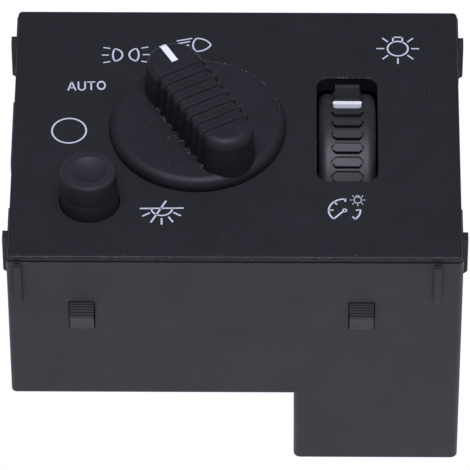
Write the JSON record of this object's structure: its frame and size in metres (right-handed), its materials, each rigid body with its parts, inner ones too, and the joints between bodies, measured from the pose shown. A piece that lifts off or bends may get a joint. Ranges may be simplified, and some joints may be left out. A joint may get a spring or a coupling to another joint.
{
  "type": "headlight switch",
  "caption": "Dash headlight switch with a ribbed turning knob on a round disc, a dimmer thumbwheel, a push button and a rear connector shroud.",
  "frame": {"origin": "middle of the case mouth, in the plane of its rim and of the shoulders of its four side lugs, where the switch sits in its panel", "axes": "+Z out of the face towards the user, +X to the user's right, +Y up the face"},
  "size_m": [0.1058, 0.0834, 0.0808],
  "materials": {
    "case_plastic": "fine satin moulded, near black",
    "face_plastic": "fine-grained matt black",
    "inner_plastic": "natural moulded",
    "inner_black": "black moulded",
    "clear_plastic": "clear moulded acrylic",
    "board": "green solder resist",
    "pin_metal": "tin-plated brass",
    "screw_steel": "zinc plated",
    "lamp_body": "white body with yellow phosphor",
    "chip_body": "moulded epoxy",
    "switch_body": "blue moulded",
    "bearing_steel": "polished",
    "spring_steel": "drawn wire",
    "knob_plastic": "satin soft black",
    "white_plastic": "white translucent",
    "rotor_plastic": "natural acetal",
    "contact_metal": "sprung copper alloy",
    "wheel_plastic": "satin black"
  },
  "bodies": {
    "case": {"housing": "case_plastic", "bezel": "face_plastic", "carrier": "inner_black", "light_guide": "clear_plastic", "circuit_board": "board", "pin_header": "inner_plastic", "connector_pins": "pin_metal", "board_screws": "screw_steel", "carrier_screws": "screw_steel", "lamps": "lamp_body", "chip_resistors": "chip_body", "control_chip": "chip_body", "push_switch": "switch_body", "detent_ball": "bearing_steel", "detent_spring": "spring_steel", "dimmer_potentiometer": "switch_body", "button_spring": "spring_steel"},
    "knob_body": {"knob": "knob_plastic", "knob_pointer": "white_plastic", "rotor": "rotor_plastic", "rotor_clip": "spring_steel", "contact_wiper": "contact_metal"},
    "wheel_body": {"thumbwheel": "wheel_plastic", "wheel_marker": "white_plastic", "wheel_axle": "bearing_steel"},
    "button_body": {"button_cap": "knob_plastic", "button_plunger": "rotor_plastic"}
  },
  "joints": [
    {"name": "knob_turn", "type": "hinge", "parent": "case", "child": "knob_body", "pos_m": [-0.0089, 0.0012, 0], "axis": [0, 0, 1], "range_deg": [-30, 60]},
    {"name": "wheel_turn", "type": "hinge", "parent": "case", "child": "wheel_body", "pos_m": [0.02555, 0.001, -0.0162], "axis": [1, 0, 0], "range_deg": [-10, 50]},
    {"name": "button_press", "type": "slide", "parent": "case", "child": "button_body", "axis": [0, 0, -1], "range_m": [0, 0.003], "stiffness_N_per_m": 300, "springref_m": -0.004, "deforming": ["button_spring"]}
  ]
}
